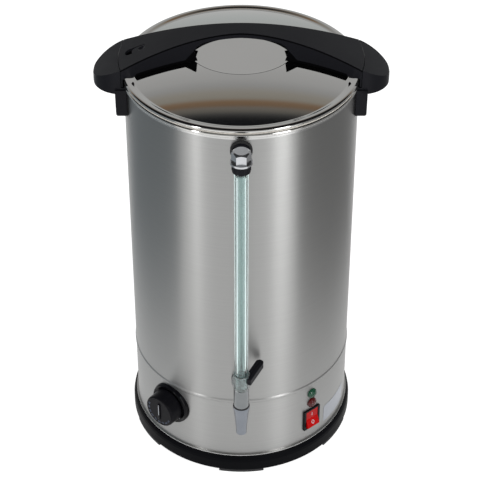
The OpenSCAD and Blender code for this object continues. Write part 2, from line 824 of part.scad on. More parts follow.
// Bar that passes beside the column and ends just in front of the tank wall
module tap_lever() {
    color("#141517") difference() {
        at_column(lever_z) rotate([0, 0, lever_turn]) {
            translate([-lever_front, -lever_off - lever_w / 2, 0])
                cube([lever_front + lever_rear - lever_w / 2, lever_w, lever_t]);
            translate([lever_rear - lever_w / 2, -lever_off, 0])
                cylinder(r = lever_w / 2, h = lever_t);
        }
        at_column(lever_z - 1) cylinder(r = collar_r + seat_gap, h = lever_t + 2);
        at_column(lever_z + lever_t - 0.8) rotate([0, 0, lever_turn])
            translate([2, -lever_off - 0.6, 0]) cube([lever_rear - 6, 1.2, 2]);
    }
}

module tap_washer() {
    color("#101113") at_column(spout_top_z + seat_gap / 2) difference() {
        cylinder(r = tap_r + 0.6, h = washer_t - seat_gap);
        translate([0, 0, -1]) cylinder(r = spigot_r + seat_gap, h = 5);
    }
}

module tap_spout() {
    color("#b9bdc2") difference() {
        at_column(0) rotate_extrude() polygon([
            [0, tip_z], [tip_d / 2, tip_z], [tip_d / 2, tip_z + tip_l],
            [tap_r - 0.6, spout_top_z - 12], [tap_r + 0.75, spout_top_z - 3],
            [tap_r + 0.75, spout_top_z], [spigot_r, spout_top_z],
            [spigot_r, spout_top_z + washer_t + 4], [0, spout_top_z + washer_t + 4]]);
        at_column(tip_z - 1) cylinder(r = spout_bore / 2, h = spout_l + 20);
    }
}

// Rubber washer that fits the round wall on one side and a flat flange on the other
module wall_seal(z, r, bore) {
    color("#121214") difference() {
        on_wall(0, z) translate([0, 0, -6]) difference() {
            cylinder(r = r, h = 6 + seal_out - seat_gap);
            translate([0, 0, -1]) cylinder(r = bore + seat_gap, h = 20);
        }
        tank_core(seat_gap);
    }
}

module tap_seal() { wall_seal(barrel_z, shank_r + 5, shank_r); }

module gauge_seal() { wall_seal(elbow_z, cap_flange_r, elbow_shank_r); }

module locknut(z, bore) {
    color("#b9bcc0") on_wall(0, z) translate([0, 0, -inner_seat(washer_r) - 2 * seat_gap - washer_h - nut_t])
        difference() {
            hexagon(20, nut_t);
            translate([0, 0, -1]) cylinder(r = bore + seat_gap, h = 20);
        }
}

module tap_locknut() { locknut(barrel_z, shank_r); }

module gauge_locknut() { locknut(elbow_z, elbow_shank_r); }

// Rings under the locknuts, round on the wall's side
module inner_seals() {
    color("#c8c2b8") for (p = [[barrel_z, shank_r], [elbow_z, elbow_shank_r]]) intersection() {
        on_wall(0, p[0]) translate([0, 0, -inner_seat(washer_r) - seat_gap - washer_h]) difference() {
            cylinder(r = washer_r, h = washer_h + 4);
            translate([0, 0, -1]) cylinder(r = p[1] + seat_gap, h = 20);
        }
        translate([0, 0, floor_z]) cylinder(r = inner_r - seat_gap, h = rim_z - floor_z, $fn = 720);
    }
}

// ---- Sight glass ----

module sight_glass() {
    bore_r = glass_bore / 2;
    z0 = glass_z0 + 18;
    z1 = elbow_low_z - 8;
    color("#a9c4c0") at_column(0) difference() {
        cylinder_between(glass_z0, glass_z1, glass_r);
        rotate_extrude() polygon(concat([[0, z0 - bore_r]],
            arc(0, z0, bore_r, -80, 0, 6), arc(0, z1, bore_r, 0, 80, 6), [[0, z1 + bore_r]]));
        cylinder_between(glass_z0 - 1, glass_z1 + 1, 1.5);
    }
}

module glass_packing() {
    color("#1a1a1a") at_column(elbow_low_z + seat_gap) difference() {
        cylinder(r = elbow_r - 1.6 - seat_gap, h = 3);
        translate([0, 0, -1]) cylinder(r = glass_r + seat_gap, h = 10);
    }
}

module gauge_elbow() {
    ribs = 18;
    color("#17181a") difference() {
        union() {
            at_column(elbow_low_z) cylinder(r = elbow_r - 0.5, h = elbow_h);
            at_column(elbow_low_z + 1.5) for (i = [0 : ribs - 1]) rotate([0, 0, i * 360 / ribs])
                translate([elbow_r - 0.9, 0, 0]) cylinder(r = 0.9, h = elbow_h - 3, $fn = 16);
            barrel(elbow_z, elbow_shank_r, shank_l);
            at_column(elbow_z) translate([0, flange_y - 3, 0]) rotate([-90, 0, 0])
                cylinder(r = cap_flange_r - 2, h = 3);
        }
        at_column(elbow_low_z - 1) cylinder(r = elbow_r - 1.6, h = 1 + 3 + 2 * seat_gap);
        at_column(elbow_low_z - 1) cylinder(r = glass_r + seat_gap, h = 1 + glass_z1 - elbow_low_z + seat_gap);
        at_column(elbow_z) rotate([-90, 0, 0]) cylinder(r = 3, h = shank_l + 1);
    }
}

module gauge_cap() {
    z0 = elbow_low_z + elbow_h + seat_gap;
    color("#cfd2d6") at_column(0) {
        cylinder_between(z0, z0 + 2.3, cap_flange_r);
        translate([0, 0, z0 + 2.3 - eps]) intersection() {
            hexagon(cap_flat, 13);
            rotate_extrude() polygon([[0, 0], [12, 0], [12, 9.5], [8, 13], [0, 13]]);
        }
    }
}

// ---- Lid ----

module lens(grow, z0, z1) {
    intersection() {
        translate([0, recess_y, z0]) cylinder(r = recess_r + grow, h = z1 - z0);
        translate([0, -recess_y, z0]) cylinder(r = recess_r + grow, h = z1 - z0);
    }
}

// The lid's outer line from its middle to the land, lifted by up
function lid_line(up) = concat(
    [for (i = [0 : 16]) let (r = dome_r * i / 16) [r, dome_at(r) + up]],
    [[dome_r + groove_w, dome_z + up], [dome_r + groove_w + 1, land_z + up],
    [tank_r + 0.2, land_z + up]]);

module lid_solid(up) {
    rotate_extrude($fn = 180) polygon(concat([[0, dome_z - 3]], lid_line(up),
        [[tank_r + 0.2, dome_z - 3]]));
}

module lid_shell() {
    color("#a9a9a6") difference() {
        union() {
            rotate_extrude($fn = 180) polygon(concat(lid_line(0), reverse(lid_line(-lid_t))));
            rotate_extrude($fn = 180) translate([tank_r + 0.2, land_z - curl_r])
                circle(r = curl_r, $fn = 32);
            intersection() {
                lens(lid_t, recess_z - lid_t, apex_z + 5);
                lid_solid(0);
            }
        }
        lens(0, recess_z, apex_z + 5);
        handle_screw_places() translate([0, 0, -20]) cylinder(r = handle_screw_r + 0.2, h = 40);
    }
}

module lid_skirt() {
    color("#a9a9a6") rotate_extrude($fn = 180) polygon([
        [lid_skirt_r - 1, lid_skirt_z], [lid_skirt_r, lid_skirt_z],
        [lid_skirt_r, skirt_top_z - 2.5], [lid_skirt_r - 0.6, skirt_top_z],
        [skirt_in_r, skirt_top_z], [skirt_in_r, skirt_top_z - 1],
        [lid_skirt_r - 1, skirt_top_z - 1]]);
}

module lid_seal() {
    color("#d9d6cf") rotate_extrude($fn = 180)
        polygon([[lid_skirt_r + rest_gap, seal_z], [tank_r + 1, seal_z],
            [tank_r + 1, seal_z + seal_t], [lid_skirt_r + rest_gap, seal_z + seal_t]]);
}

// ---- Lid handle ----

module plan(inset) {
    translate([0, 0, rim_z - 40]) linear_extrude(height = 120) polygon(concat(
        [for (x = stations) [x, inset - waist(x)]],
        [for (x = reverse(stations)) [x, waist(x) - inset]]));
}

// Right half of the lower edge, from the seam in to the finger window and over it
lip_edge = concat(
    [[seam_r, lip_z0], [tank_r - 6, lip_z0], [tank_r - 11, lip_z0 + 6]],
    [for (i = [0 : 8]) let (x = tank_r - 17 - (tank_r - 17 - 63) * i / 8)
        [x, dome_at(x) + lip_gap]]);
window_edge = concat(
    [[window_half, crest(window_half) - 2.1 * bar_t], [window_half - 3.5, crest(window_half) - 1.3 * bar_t]],
    [for (i = [0 : 5]) let (x = (window_half - 10) * (1 - i / 5)) [x, crest(x) - bar_t]]);
foot_edge = [[seam_r, lip_z0], [window_half - 8.6, lip_z0], [window_half - 8.6, recess_z + 2]];

module elevation(sink, edge) {
    along_y(end_half + 5) polygon(concat(
        [for (x = stations) [x, crest(x) - sink]], edge, mirrored(edge)));
}

// Everything that the handle keeps clear of: the lid, and the rim below it
module lid_room() {
    difference() {
        union() {
            lid_solid(2 * seat_gap);
            cylinder_between(rim_z - 40, land_z + 2 * seat_gap, edge_r + 0.5);
        }
        lens(-2 * seat_gap, recess_z + 2 * seat_gap, apex_z + 5);
    }
}

module handle_screw_places() {
    for (x = [-screw_x, screw_x], y = [-screw_y, screw_y])
        translate([x, y, dome_at(norm([screw_x, screw_y]) + 4) - lid_t - seat_gap]) children();
}

module on_crest() {
    translate([-lock_x, 0, crest(lock_x)]) rotate([0, -lock_slope, 0]) children();
}

module handle_cover() {
    color("#202124") difference() {
        intersection() {
            plan(0);
            elevation(0, concat(lip_edge, window_edge));
            cylinder_between(rim_z - 40, crest_z + 5, end_r);
        }
        intersection() {
            plan(cover_t);
            elevation(top_t, [[seam_r, lip_z0 - 10]]);
            cylinder_between(rim_z - 40, crest_z + 5, end_r - cover_t);
        }
        lid_room();
        on_crest() translate([0, 0, -lock_d]) stadium(slot_l, slot_w, 20);
    }
}

module handle_frame() {
    color("#141517") difference() {
        intersection() {
            union() {
                intersection() {
                    plan(cover_t + seat_gap);
                    elevation(top_t + seat_gap, concat(lip_edge, window_edge));
                }
                intersection() {
                    plan(undercut);
                    elevation(top_t + seat_gap, concat(foot_edge, window_edge));
                }
            }
            cylinder_between(rim_z - 40, crest_z + 5, end_r - cover_t - seat_gap);
        }
        lid_room();
        handle_screw_places() cylinder(r = handle_screw_r + seat_gap, h = handle_screw_l + 1);
        on_crest() translate([0, 0, -lock_d]) stadium(slot_l, slot_w, 20);
    }
}

module handle_screws() {
    color("#b9bcc0") handle_screw_places() {
        translate([0, 0, -2.4]) cylinder(r = 4, h = 2.4);
        translate([0, 0, -eps]) cylinder(r = handle_screw_r, h = handle_screw_l);
    }
}

// Thumb piece at the inner end of its slot
module lock_slider() {
    color("#26272b") on_crest() translate([lock_travel / 2, 0, 0]) difference() {
        translate([0, 0, rest_gap - lock_d]) stadium(slider_l, slider_w, lock_d - rest_gap - 0.8);
        translate([slider_l / 2 - 5.5, 0, 2.6]) sphere(r = 5.2);
    }
}

base_ring();
base_feet();
base_plate();
base_screws();
tie_rods();
tank_skirt();
tank_wall();
tank_floor();
heat_plate();
heating_element();
boil_dry_cutout();
thermostat_body();
thermostat_bulb();
capillary_tube();
thermostat_screws();
knob_bezel();
thermostat_knob();
thermostat_spindle();
lamp_green();
lamp_red();
lamp_nuts();
switch_housing();
switch_rocker();
switch_terminals();
terminal_block();
cord_gland();
cord_gland_nut();
side_handle_left();
side_handle_right();
side_handle_screws();
tap_body();
tap_plug();
tap_collar();
tap_lever();
tap_washer();
tap_spout();
tap_seal();
tap_locknut();
sight_glass();
glass_packing();
gauge_elbow();
gauge_cap();
gauge_seal();
gauge_locknut();
inner_seals();
lid_shell();
lid_skirt();
lid_seal();
handle_frame();
handle_cover();
handle_screws();
lock_slider();
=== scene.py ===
import math

import bmesh
import bpy
from mathutils import Matrix, Vector


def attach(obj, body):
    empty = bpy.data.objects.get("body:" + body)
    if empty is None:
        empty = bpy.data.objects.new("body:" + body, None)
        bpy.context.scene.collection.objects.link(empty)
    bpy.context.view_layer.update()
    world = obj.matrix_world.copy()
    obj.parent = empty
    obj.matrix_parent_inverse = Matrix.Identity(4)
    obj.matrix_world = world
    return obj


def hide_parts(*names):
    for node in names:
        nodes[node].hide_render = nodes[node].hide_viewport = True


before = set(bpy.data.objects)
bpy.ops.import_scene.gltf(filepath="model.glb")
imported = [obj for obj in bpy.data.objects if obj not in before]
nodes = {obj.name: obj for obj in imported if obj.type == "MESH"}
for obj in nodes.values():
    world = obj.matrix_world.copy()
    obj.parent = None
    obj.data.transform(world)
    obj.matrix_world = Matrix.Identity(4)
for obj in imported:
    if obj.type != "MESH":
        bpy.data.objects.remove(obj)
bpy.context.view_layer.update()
tankR = 0.135  # the tank's radius
scene = bpy.context.scene

camera = {  # metres, degrees and millimetres, fitted to the photograph
    "place": (0, -1.6233, 1.5111), "pitchDown": 37.60, "lens": 124.54, "sensor": 36, "shiftX": -0.0028}

cameraData = bpy.data.cameras.new("camera")
cameraData.lens = camera["lens"]
cameraData.sensor_width = camera["sensor"]
cameraData.shift_x = camera["shiftX"]
cameraObject = bpy.data.objects.new("camera", cameraData)
cameraObject.location = camera["place"]
cameraObject.rotation_euler = (math.radians(90 - camera["pitchDown"]), 0, 0)
scene.collection.objects.link(cameraObject)
scene.camera = cameraObject
scene.view_settings.view_transform = "Standard"
print("camera placed")


class Wire:
    # one output of a node: Python's operators on it add Math nodes
    def __init__(self, finish, socket):
        self.finish = finish
        self.socket = socket

    def __add__(self, other):
        return self.finish.maths("ADD", self, other)

    __radd__ = __add__

    def __sub__(self, other):
        return self.finish.maths("SUBTRACT", self, other)

    def __rsub__(self, other):
        return self.finish.maths("SUBTRACT", other, self)

    def __mul__(self, other):
        return self.finish.maths("MULTIPLY", self, other)

    __rmul__ = __mul__

    def __truediv__(self, other):
        return self.finish.maths("DIVIDE", self, other)

    def __rtruediv__(self, other):
        return self.finish.maths("DIVIDE", other, self)


class Finish:
    # a material, or the world, and its node tree
    def __init__(self, holder):
        self.holder = holder
        holder.use_nodes = True
        self.tree = holder.node_tree
        self.tree.nodes.clear()

    def node(self, kind, settings=None, sockets=None, out=0):
        made = self.tree.nodes.new("ShaderNode" + kind)
        for name, value in (settings or {}).items():
            if name == "stops":
                ends = made.color_ramp.elements
                ends[0].position, ends[1].position = value[0][0], value[-1][0]
                for place, colour in value[1:-1]:
                    ends.new(place)
                for stop, (place, colour) in zip(sorted(ends, key=lambda e: e.position), value):
                    stop.color = (*colour[:3], 1)
            else:
                setattr(made, name, value)
        for name, value in (sockets or {}).items():
            if isinstance(value, Wire):
                self.tree.links.new(value.socket, made.inputs[name])
            else:
                made.inputs[name].default_value = value
        return Wire(self, made.outputs[out]) if made.outputs else None

    def maths(self, operation, *values):
        return self.node("Math", {"operation": operation}, dict(enumerate(values)))

    def place(self, stretch=(1, 1, 1)):
        # the object's own metres, stretched along its axes
        at = self.node("TexCoord", out="Object")
        return self.node("VectorMath", {"operation": "MULTIPLY"}, {0: at, 1: stretch})

    def noise(self, scale, detail=3, rough=0.55, stretch=(1, 1, 1)):
        return self.node("TexNoise", None, {
            "Vector": self.place(stretch), "Scale": scale, "Detail": detail, "Roughness": rough})

    def ramp(self, factor, stops):
        return self.node("ValToRGB", {"stops": stops}, {"Fac": factor})

    def blend(self, factor, colourA, colourB):
        # sockets 6 and 7 are a colour Mix node's A and B, and its output 2 is the colour
        return self.node("Mix", {"data_type": "RGBA"}, {0: factor, 6: colourA, 7: colourB}, out=2)

    def bump(self, height, distance, strength):
        return self.node("Bump", None, {"Height": height, "Distance": distance, "Strength": strength})

    def principled(self, sockets):
        shader = self.node("BsdfPrincipled", None, sockets)
        self.node("OutputMaterial", None, {"Surface": shader})
        return self.holder


def newFinish(name):
    return Finish(bpy.data.materials.new(name))


def grey(value, tint=(1, 1, 1)):
    return tuple(value * part for part in tint) + (1,)


studio = {
    "lamps": [  # azimuth, distance, height of the middle, width, height, watts
        ("keyLeft", -39.5, 1.5, 0.75, 0.13, 1.3, 4.6),
        ("keyRight", 35.5, 1.5, 0.75, 0.34, 1.3, 8.0),
    ],
    "sky": [  # half of one plus the sine of the elevation, and the light from there
        (0.0, grey(0.70)), (0.50, grey(0.66)), (0.58, (0.58, 0.61, 0.61)), (0.66, grey(0.56)),
        (0.80, grey(0.57)), (0.847, grey(0.50)), (0.866, grey(0.42)), (0.883, (0.375, 0.35, 0.31)),
        (0.896, (0.34, 0.32, 0.28)), (0.901, (0.27, 0.17, 0.10)), (0.911, (0.22, 0.145, 0.09)),
        (0.914, (0.21, 0.19, 0.17)), (0.921, (0.17, 0.16, 0.14)), (0.925, grey(0.08)),
        (0.930, grey(0.04)), (0.935, (0.010, 0.011, 0.013)), (1.0, (0.010, 0.011, 0.013))],
    "overhead": [(0.5, grey(0.40)), (1.0, grey(1.0))],  # what lights the dull surfaces
    "behind": grey(0.95),  # what the camera sees past the floor
    "skyBow": 0.28,  # how much higher the ceiling's bands stand at the sides
    "lampAim": (0, 0, 0.28), "floorDown": 0.0004,
    "floorR": 9.0, "floorColour": 0.40, "floorGlow": 0.86,
    "flags": [  # side, distance, front end, back end, height, their own light
        ("flagLeft", -0.40, -0.30, 0.30, 0.62, (0.33, 0.36, 0.38)),
        ("flagRight", 0.40, -0.36, 0.30, 0.62, (0.33, 0.33, 0.33))],
}

for name, azimuth, far, height, width, tall, watts in studio["lamps"]:
    lampData = bpy.data.lights.new(name, "AREA")
    lampData.shape = "RECTANGLE"
    lampData.size = width
    lampData.size_y = tall
    lampData.energy = watts
    lamp = bpy.data.objects.new(name, lampData)
    angle = math.radians(azimuth)
    lamp.location = (far * math.sin(angle), -far * math.cos(angle), height)
    aim = Vector(studio["lampAim"]) - lamp.location
    lamp.rotation_euler = aim.to_track_quat("-Z", "Y").to_euler()
    scene.collection.objects.link(lamp)


def studioSky():
    # gloss sees a ceiling whose far edge curves overhead; dull surfaces see a plain pale one
    f = Finish(bpy.data.worlds.new("sky"))
    toward = f.node("TexCoord", out="Generated")
    split = f.node("SeparateXYZ", None, {0: toward})
    x, y, z = (Wire(f, split.socket.node.outputs[axis]) for axis in "XYZ")
    upAndBack = f.maths("SQRT", y * y + z * z + 0.0001)  # never quite zero
    lift = z / upAndBack + x * x * studio["skyBow"]
    ceiling = f.ramp(lift * 0.5 + 0.5, studio["sky"])
    byGloss = f.node("LightPath", out="Is Glossy Ray")
    byCamera = f.node("LightPath", out="Is Camera Ray")
    plain = f.blend(byCamera, f.ramp(z * 0.5 + 0.5, studio["overhead"]), studio["behind"])
    seen = f.blend(byGloss, plain, ceiling)
    f.node("OutputWorld", None, {"Surface": f.node("Background", None, {"Color": seen})})
    scene.world = f.holder


studioSky()


def seenRay(finish):
    # 1 for rays from the camera and for those off gloss or through glass
    def ray(name):
        return finish.node("LightPath", out=name)
    best = finish.maths("MAXIMUM", ray("Is Camera Ray"), ray("Is Glossy Ray"))
    return finish.maths("MAXIMUM", best, ray("Is Transmission Ray"))


def meshObject(name, verts, faces, material, smooth=True):
    data = bpy.data.meshes.new(name)
    data.from_pydata([tuple(v) for v in verts], [], faces)
    data.validate()
    made = bpy.data.objects.new(name, data)
    scene.collection.objects.link(made)
    data.materials.append(material)
    for face in data.polygons:
        face.use_smooth = smooth
    return made


def whiteFloor():
    # a dull floor that glows for the rays that see it, so that it stays white under the object
    f = newFinish("whiteFloor")
    lit = f.node("BsdfDiffuse", None, {"Color": grey(studio["floorColour"])})
    glow = f.node("Emission", None, {
        "Color": grey(1), "Strength": seenRay(f) * studio["floorGlow"]})
    f.node("OutputMaterial", None, {"Surface": f.node("AddShader", None, {0: lit, 1: glow})})
    r = studio["floorR"]
    floor = meshObject("floor", [(-r, -r, 0), (r, -r, 0), (r, r, 0), (-r, r, 0)],
                       [(0, 1, 2, 3)], f.holder, smooth=False)
    floor.location.z = -studio["floorDown"]


def darkFlag(name, x, y0, y1, tall, colour):
    # a dark card beside the object, which only its gloss shows
    f = newFinish(name)
    f.node("OutputMaterial", None, {"Surface": f.node("Emission", None, {"Color": (*colour, 1)})})
    card = meshObject(name, [(x, y0, 0), (x, y1, 0), (x, y1, tall), (x, y0, tall)],
                      [(0, 1, 2, 3)], f.holder, smooth=False)
    card.visible_camera = card.visible_diffuse = card.visible_shadow = False
    card.visible_transmission = False


whiteFloor()
for flag in studio["flags"]:
    darkFlag(*flag)
print("light and floor placed")

steel = {"wall": (0.34, 0.34, 0.335), "lid": (0.55, 0.545, 0.53)}
buffedAndHighlit = {"above": 0.5015, "below": 0.0264, "rough": 0.27, "lighter": 1.5}  # the tank's smooth rim and foot flange, also lighter: a buffed finish, and a painted highlight in the lighter colour


def brushedSteel(name, colour, rough=0.38, across=900, along=5, ends=None):
    # fine lines that run round the tank, with slow changes in tone, or with buffed ends whose lighter colour
    # is a painted highlight
    f = newFinish(name)
    lines = f.noise(1, 4, 0.7, (along, along, across))
    base = f.blend(lines, grey(0.90, colour), grey(1.08, colour))
    dull = rough - 0.05 + lines * 0.1
    relief = lines
    if ends:
        height = f.node("SeparateXYZ", None, {0: f.place()}, out="Z")
        smooth = f.maths("MAXIMUM", f.maths("GREATER_THAN", height, ends["above"]),
                         f.maths("LESS_THAN", height, ends["below"]))
        dull = dull - smooth * (dull - ends["rough"])
        # the lighter colour at the buffed ends is a painted highlight along the rim and the foot flange
        base = f.blend(smooth, base, grey(ends["lighter"], colour))
        relief = lines * (1 - smooth)
    else:
        broad = f.noise(9, 2, 0.5)
        base = f.blend(broad * 0.5, base, grey(1.03, colour))
    return f.principled({
        "Base Color": base, "Metallic": 1.0, "Roughness": dull,
        "Anisotropic": 0.88, "Anisotropic Rotation": 0.25,
        "Normal": f.bump(relief, 0.00002, 0.25)})


def polishedSteel(name, colour, rough=0.055, ring=700):
    # faint rings from the buffing wheel, and a slight smear
    f = newFinish(name)
    out = f.node("VectorMath", {"operation": "LENGTH"}, {0: f.place((1, 1, 0))}, out="Value")
    rings = f.node("TexNoise", {"noise_dimensions": "1D"}, {"W": out * ring, "Detail": 3, "Scale": 1})
    smear = f.noise(14, 3, 0.6)
    return f.principled({
        "Base Color": f.blend(smear, grey(0.97, colour), grey(1.02, colour)),
        "Metallic": 1.0, "Roughness": rough - 0.02 + rings * 0.02 + smear * 0.04})


def metal(name, colour, rough=0.25, grain=400, relief=0.1):
    f = newFinish(name)
    spots = f.noise(grain, 3, 0.6)
    cloud = f.noise(60, 2, 0.5)
    return f.principled({
        "Base Color": f.blend(cloud, grey(0.86, colour), grey(1.08, colour)),
        "Metallic": 1.0, "Roughness": rough - 0.05 + spots * 0.1,
        "Normal": f.bump(spots, 0.00005, relief)})


def mouldedPlastic(name, colour, rough=0.42, relief=0.25, shine=0.5):
    # spark-eroded mould grain, with handling marks where it shines more
    f = newFinish(name)
    fine = f.noise(1100, 2, 0.6)
    rub = f.noise(26, 3, 0.6)
    return f.principled({
        "Base Color": f.blend(fine, grey(0.8, colour), grey(1.25, colour)),
        "Roughness": rough - 0.06 + rub * 0.12, "Specular IOR Level": shine,
        "Normal": f.bump(fine, 0.00006, relief)})


def rubber(name, colour=(0.012, 0.012, 0.013)):
    f = newFinish(name)
    dust = f.noise(220, 4, 0.65)
    return f.principled({
        "Base Color": f.blend(dust, grey(0.8, colour), grey(1.7, colour)),
        "Roughness": 0.68 + dust * 0.15, "Normal": f.bump(dust, 0.00008, 0.2)})


def clear(name, colour, rough=0.03, ior=1.47, cloudy=0.0):
    f = newFinish(name)
    haze = f.noise(120, 3, 0.5)
    return f.principled({
        "Base Color": f.blend(haze, grey(0.97, colour), grey(1, colour)),
        "Roughness": rough + haze * 0.02, "IOR": ior, "Transmission Weight": 1.0 - cloudy})


def lens(name, colour):
    # coloured plastic with moulded facets in its bump, and patches of colour painted darker and lighter as
    # the facets' shade and glints
    f = newFinish(name)
    facets = f.node("TexVoronoi", {"feature": "F1"}, {
        "Vector": f.place(), "Scale": 420.0}, out="Distance")
    paintedFacetShading = f.noise(520, 1, 0.4)
    return f.principled({
        "Base Color": f.blend(paintedFacetShading, grey(0.25, colour), grey(1.7, colour)),
        "Roughness": 0.10 + paintedFacetShading * 0.1, "IOR": 1.5, "Transmission Weight": 0.25,
        "Specular IOR Level": 0.35, "Normal": f.bump(facets, 0.0012, 0.5)})


finishes = {
    "brushed": brushedSteel("brushedSteel", steel["wall"], ends=buffedAndHighlit),
    "satin": brushedSteel("satinSteel", (0.42, 0.42, 0.42), rough=0.5),
    "polished": polishedSteel("polishedSteel", steel["lid"]),
    "plated": metal("platedMetal", (0.50, 0.51, 0.53)),
    "tapPlated": metal("tapPlated", (0.20, 0.21, 0.215), rough=0.22),
    "satinPlated": metal("satinPlated", (0.20, 0.215, 0.24), rough=0.34, grain=900),
    "zinc": metal("zincPlate", (0.36, 0.37, 0.38), rough=0.45, grain=90),
    "rolled": metal("rolledAluminium", (0.6, 0.61, 0.62), rough=0.35),
    "oxide": metal("oxidisedTube", (0.12, 0.12, 0.13), rough=0.6, relief=0.4),
    "brass": metal("brass", (0.62, 0.42, 0.15), rough=0.28),
    "copper": metal("copper", (0.62, 0.26, 0.12), rough=0.3),
    "black": mouldedPlastic("blackPlastic", (0.0078, 0.0080, 0.0105), shine=0.09),
    "base": mouldedPlastic("basePlastic", (0.0022, 0.0023, 0.0032), rough=0.48, shine=0.035),
    "gloss": mouldedPlastic("glossBezel", (0.003, 0.003, 0.004), rough=0.16, relief=0.0, shine=0.10),
    "knob": mouldedPlastic("knobPlastic", (0.0045, 0.0045, 0.006), rough=0.34, relief=0.1, shine=0.06),
    "switch": mouldedPlastic("switchFrame", (0.004, 0.004, 0.005), rough=0.34, relief=0.05, shine=0.08),
    "faint": mouldedPlastic("fadedInk", (0.085, 0.10, 0.135), rough=0.5, relief=0.0, shine=0.1),
    # a near-black finish that paints shade: on the handle frame, the recess's rim line, the cover's groove
    # and the band under the handle's lip
    "shade": mouldedPlastic("paintedShadePlastic", (0.0012, 0.0012, 0.0015), rough=0.6, shine=0.03),
    "ink": mouldedPlastic("whiteInk", (0.62, 0.64, 0.68), rough=0.5, relief=0.0, shine=0.2),
    "silver": mouldedPlastic("silverPlate", (0.36, 0.38, 0.42), rough=0.38, relief=0.0, shine=0.5),
    "phenolic": mouldedPlastic("phenolic", (0.5, 0.42, 0.26), rough=0.5),
    "ceramic": mouldedPlastic("ceramic", (0.78, 0.77, 0.72), rough=0.35),
    "rubber": rubber("rubber"),
    "silicone": rubber("silicone", (0.6, 0.57, 0.52)),
    "glass": clear("drawnGlass", (0.76, 0.90, 0.89)),
    "clear": clear("clearAcrylic", (0.62, 0.68, 0.68), rough=0.08, ior=1.49, cloudy=0.10),
    "green": lens("greenLens", (0.004, 0.075, 0.035)),
    "red": lens("redLens", (0.10, 0.0, 0.001)),
    "rockerRed": mouldedPlastic("rockerRed", (0.46, 0.001, 0.001), rough=0.25, relief=0.0, shine=0.10),
}

worn = {
    "brushed": ["tank_wall", "tank_skirt"],
    "satin": ["tank_floor", "lid_skirt"],
    "polished": ["lid_shell"],
    "tapPlated": ["tap_body"],
    "plated": ["gauge_cap", "tap_locknut", "gauge_locknut", "lamp_nuts",
               "thermostat_spindle", "thermostat_screws", "side_handle_screws", "handle_screws"],
    "satinPlated": ["tap_spout"],
    "zinc": ["base_plate", "base_screws", "tie_rods"],
    "rolled": ["heat_plate"],
    "oxide": ["heating_element"],
    "brass": ["tap_plug", "switch_terminals"],
    "copper": ["thermostat_bulb", "capillary_tube"],
    "black": ["side_handle_left", "side_handle_right", "handle_cover", "lock_slider", "gauge_elbow",
              "tap_lever"],
    # the frame wears the painted shade finish, darker than the cover, as the shade under the cover's lip
    "shade": ["handle_frame"],
    "base": ["base_ring", "cord_gland", "cord_gland_nut"],
    "gloss": ["knob_bezel"],
    "knob": ["thermostat_knob"],
    "switch": ["switch_housing"],
    "phenolic": ["boil_dry_cutout", "thermostat_body"],
    "ceramic": ["terminal_block"],
    "rubber": ["base_feet", "tap_washer", "tap_seal", "gauge_seal", "glass_packing"],
    "silicone": ["lid_seal", "inner_seals"],
    "glass": ["sight_glass"],
    "clear": ["tap_collar"],
    "green": ["lamp_green"],
    "red": ["lamp_red"],
    "rockerRed": ["switch_rocker"],
}

for finishName, wearers in worn.items():
    for wearer in wearers:
        data = nodes[wearer].data
        data.materials.clear()
        data.materials.append(finishes[finishName])
        for face in data.polygons:
            face.material_index = 0


lid = {  # the lid's lines in metres, and the steps of its curves
    "apex": 0.5300, "domeR": 0.1262, "domeZ": 0.5138, "rings": 44, "around": 288, "sheet": 0.001,
    "shoulderIn": 0.05, "shoulderOut": 0.7, "shoulderSteps": 14,  # its slopes at the dome and at the curl
    "curlR": 0.002, "curlX": 0.1352, "curlZ": 0.5126, "curlEnd": 190, "curlSteps": 20, "underIn": 0.0024,
    # lip is the width of the recess wall's narrow top, which is painted near-black as a shadow line
    "recessZ": 0.5255, "recessR": 0.061, "recessY": 0.017, "lip": 0.0007, "lap": 0.0002,
    "cutOver": 0.004, "wallDown": 0.0001, "lapDown": 0.0004}


def domeAt(x, y=0):
    # the height of the lid's dome
    rise = lid["apex"] - lid["domeZ"]
    sphere = (lid["domeR"] ** 2 + rise ** 2) / (2 * rise)
    return lid["apex"] - sphere + math.sqrt(sphere ** 2 - x * x - y * y)


def finished(made, sharp=30):
    # smooth shading that stops at edges sharper than an angle
    for face in made.data.polygons:
        face.use_smooth = True
    made.data.set_sharp_from_angle(angle=math.radians(sharp))
    return made


def applied(made, kind, **settings):
    # adds one modifier and applies it
    modifier = made.modifiers.new(kind.lower(), kind)
    for key, value in settings.items():
        setattr(modifier, key, value)
    depsgraph = bpy.context.evaluated_depsgraph_get()
    data = bpy.data.meshes.new_from_object(made.evaluated_get(depsgraph))
    made.modifiers.clear()
    old, made.data = made.data, data
    bpy.data.meshes.remove(old)
    return made


def cut(made, tool):
    # takes the tool's shape out, and the tool away
    applied(made, "BOOLEAN", object=tool, operation="DIFFERENCE", solver="EXACT")
    bpy.data.objects.remove(tool)
    return made


def repaired(data, join=None, level=None):
    # joins split corners and level faces where asked, and turns every face outwards
    mesh = bmesh.new()
    mesh.from_mesh(data)
    if join:
        bmesh.ops.remove_doubles(mesh, verts=mesh.verts, dist=join)
    if level:
        bmesh.ops.dissolve_limit(mesh, angle_limit=math.radians(level), verts=mesh.verts, edges=mesh.edges)
    bmesh.ops.recalc_face_normals(mesh, faces=mesh.faces)
    mesh.to_mesh(data)
    mesh.free()


